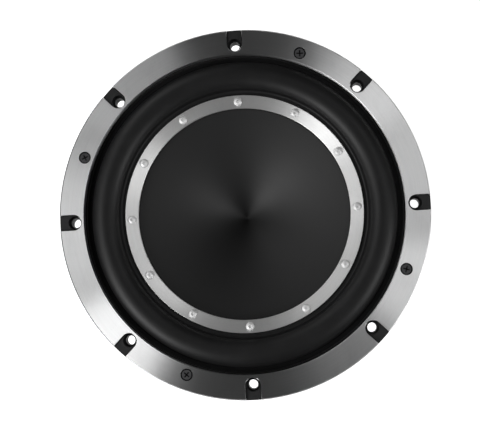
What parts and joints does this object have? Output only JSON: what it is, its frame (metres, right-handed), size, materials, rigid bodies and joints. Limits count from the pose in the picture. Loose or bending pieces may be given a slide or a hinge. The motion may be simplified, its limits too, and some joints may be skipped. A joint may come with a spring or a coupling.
{
  "type": "car subwoofer speaker",
  "caption": "Round long-throw bass speaker with a bright slotted trim ring, black rubber half-roll surround, clamped cone, cast basket and booted magnet.",
  "frame": {"origin": "centre of the magnet boot's underside, on the speaker's axis", "axes": "+Z along the speaker's axis towards the front; -Y towards the terminal block"},
  "size_m": [0.316, 0.316, 0.172],
  "materials": {
    "basket_paint": "cast, powder coated satin black",
    "trim_metal": "machined, fine round brushing",
    "black_screw": "black oxide",
    "bright_screw": "polished",
    "foam": "foam, matt",
    "surround_rubber": "moulded, satin",
    "cone_black": "satin black",
    "backing_steel": "zinc plated",
    "former": "anodised black",
    "copper": "enamelled wire",
    "kraft": "paper wrap",
    "spider_cloth": "resin-dipped cloth",
    "spacer": "moulded",
    "motor_steel": "black plated steel",
    "ferrite": "ground ferrite",
    "sleeve": "turned",
    "screen": "punched",
    "boot_rubber": "moulded, matt",
    "terminal_plastic": "moulded",
    "terminal_metal": "tinned brass",
    "button_red": "moulded",
    "button_black": "moulded",
    "spring_steel": "bright wire",
    "lead_braid": "braided copper tinsel"
  },
  "bodies": {
    "frame": {"basket": "basket_paint", "trim_ring": "trim_metal", "trim_ring_screws": "black_screw", "mounting_gasket": "foam", "surround": "surround_rubber", "upper_spider": "spider_cloth", "lower_spider": "spider_cloth", "spider_spacer": "spacer", "top_plate": "motor_steel", "magnet_upper": "ferrite", "magnet_lower": "ferrite", "back_plate": "motor_steel", "shorting_ring": "sleeve", "vent_screen": "screen", "magnet_boot": "boot_rubber", "basket_bolts": "black_screw", "terminal_block": "terminal_plastic", "terminal_contacts": "terminal_metal", "terminal_screws": "bright_screw", "button_spring_red": "spring_steel", "button_spring_black": "spring_steel", "tinsel_lead_red": "lead_braid", "tinsel_lead_black": "lead_braid"},
    "cone_assembly": {"cone": "cone_black", "cone_ring": "trim_metal", "cone_ring_screws": "bright_screw", "clamp_backing_ring": "backing_steel", "voice_coil_former": "former", "voice_coil_winding": "copper", "former_collar": "kraft"},
    "red_button": {"push_button_red": "button_red"},
    "black_button": {"push_button_black": "button_black"}
  },
  "joints": [
    {"name": "cone_travel", "type": "slide", "parent": "frame", "child": "cone_assembly", "axis": [0, 0, 1], "range_m": [-0.014, 0.014], "stiffness_N_per_m": 6500, "deforming": ["surround", "upper_spider", "lower_spider", "tinsel_lead_red", "tinsel_lead_black"]},
    {"name": "red_button_press", "type": "slide", "parent": "frame", "child": "red_button", "axis": [0, 0, -1], "range_m": [0, 0.004], "stiffness_N_per_m": 700, "springref_m": -0.002, "deforming": ["button_spring_red"]},
    {"name": "black_button_press", "type": "slide", "parent": "frame", "child": "black_button", "axis": [0, 0, -1], "range_m": [0, 0.004], "stiffness_N_per_m": 700, "springref_m": -0.002, "deforming": ["button_spring_black"]}
  ]
}
